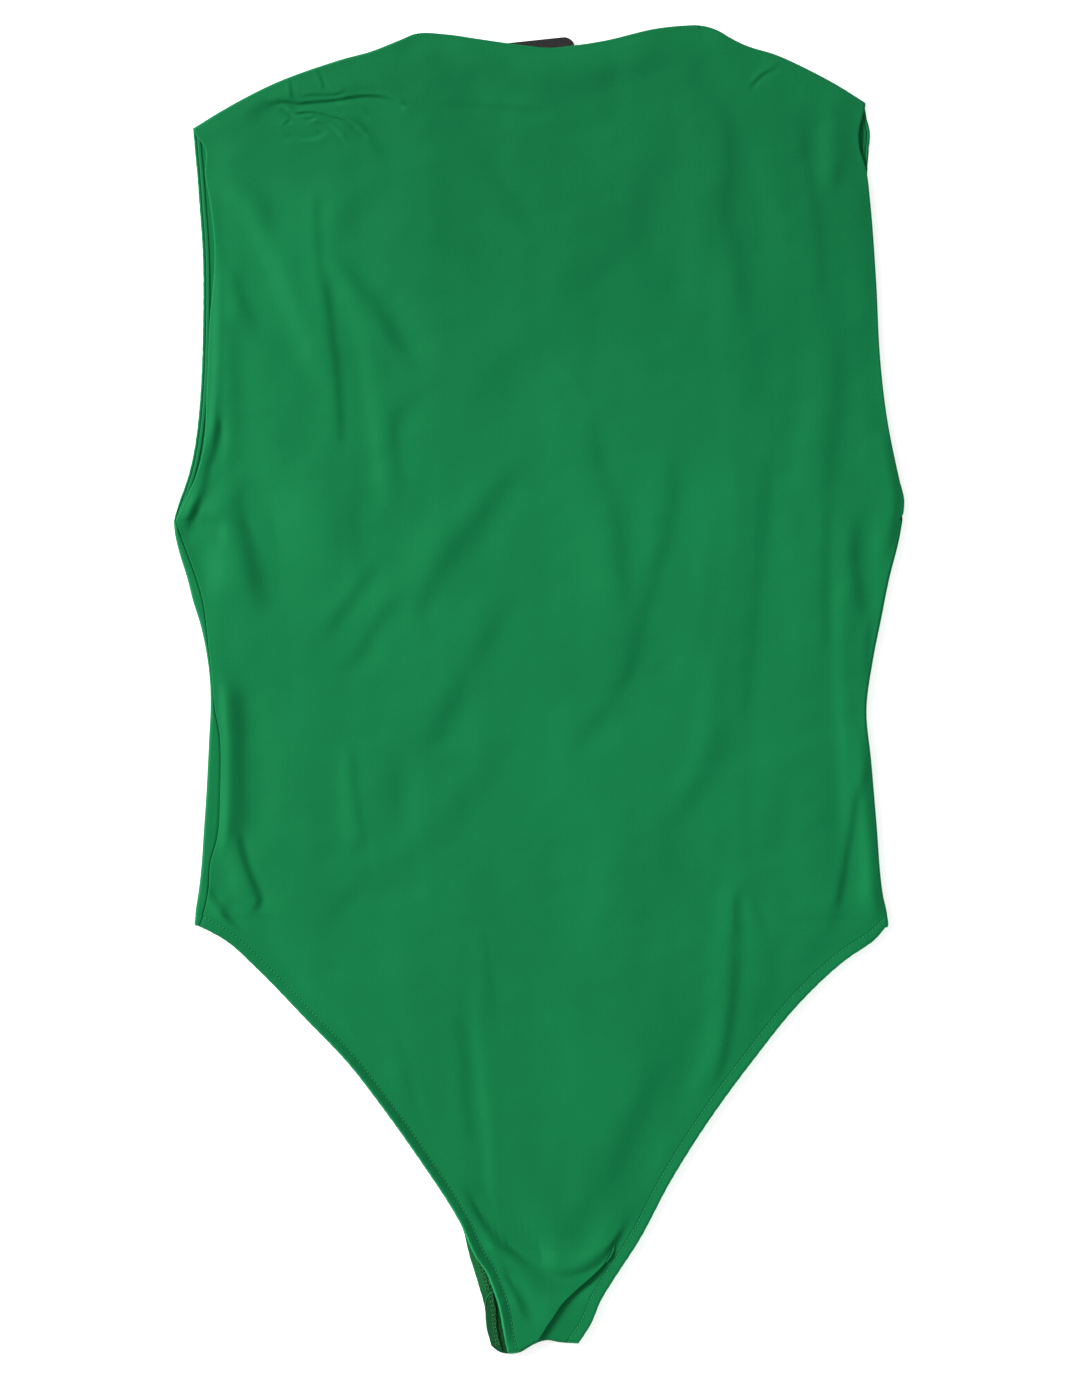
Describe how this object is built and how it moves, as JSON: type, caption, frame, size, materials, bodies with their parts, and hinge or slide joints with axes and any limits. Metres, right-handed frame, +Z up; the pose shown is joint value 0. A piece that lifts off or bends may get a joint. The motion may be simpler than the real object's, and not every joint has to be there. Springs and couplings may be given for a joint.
{
  "type": "bodysuit",
  "caption": "Sleeveless bodysuit in stretch jersey with a wide neckline and high-cut legs, laid flat with its front up.",
  "frame": {"origin": "middle of the laid garment's length and width, on the surface it lies on", "axes": "+Z up from the surface, out of the garment's front; +Y from the crotch to the neck; +X across, towards the wearer's left side"},
  "size_m": [0.4199, 0.7634, 0.007],
  "materials": {
    "jersey": "matte green stretch jersey with a faint sheen",
    "jersey_hem": "the same jersey turned twice and pressed",
    "label": "dark woven satin tape, bare"
  },
  "bodies": {
    "root": {"front_panel": "jersey", "back_panel": "jersey", "crotch_gusset": "jersey", "front_leg_hem_left": "jersey_hem", "front_leg_hem_right": "jersey_hem", "back_leg_hem_left": "jersey_hem", "back_leg_hem_right": "jersey_hem", "back_arm_hem_left": "jersey_hem", "back_arm_hem_right": "jersey_hem", "neck_label": "label"}
  },
  "joints": []
}
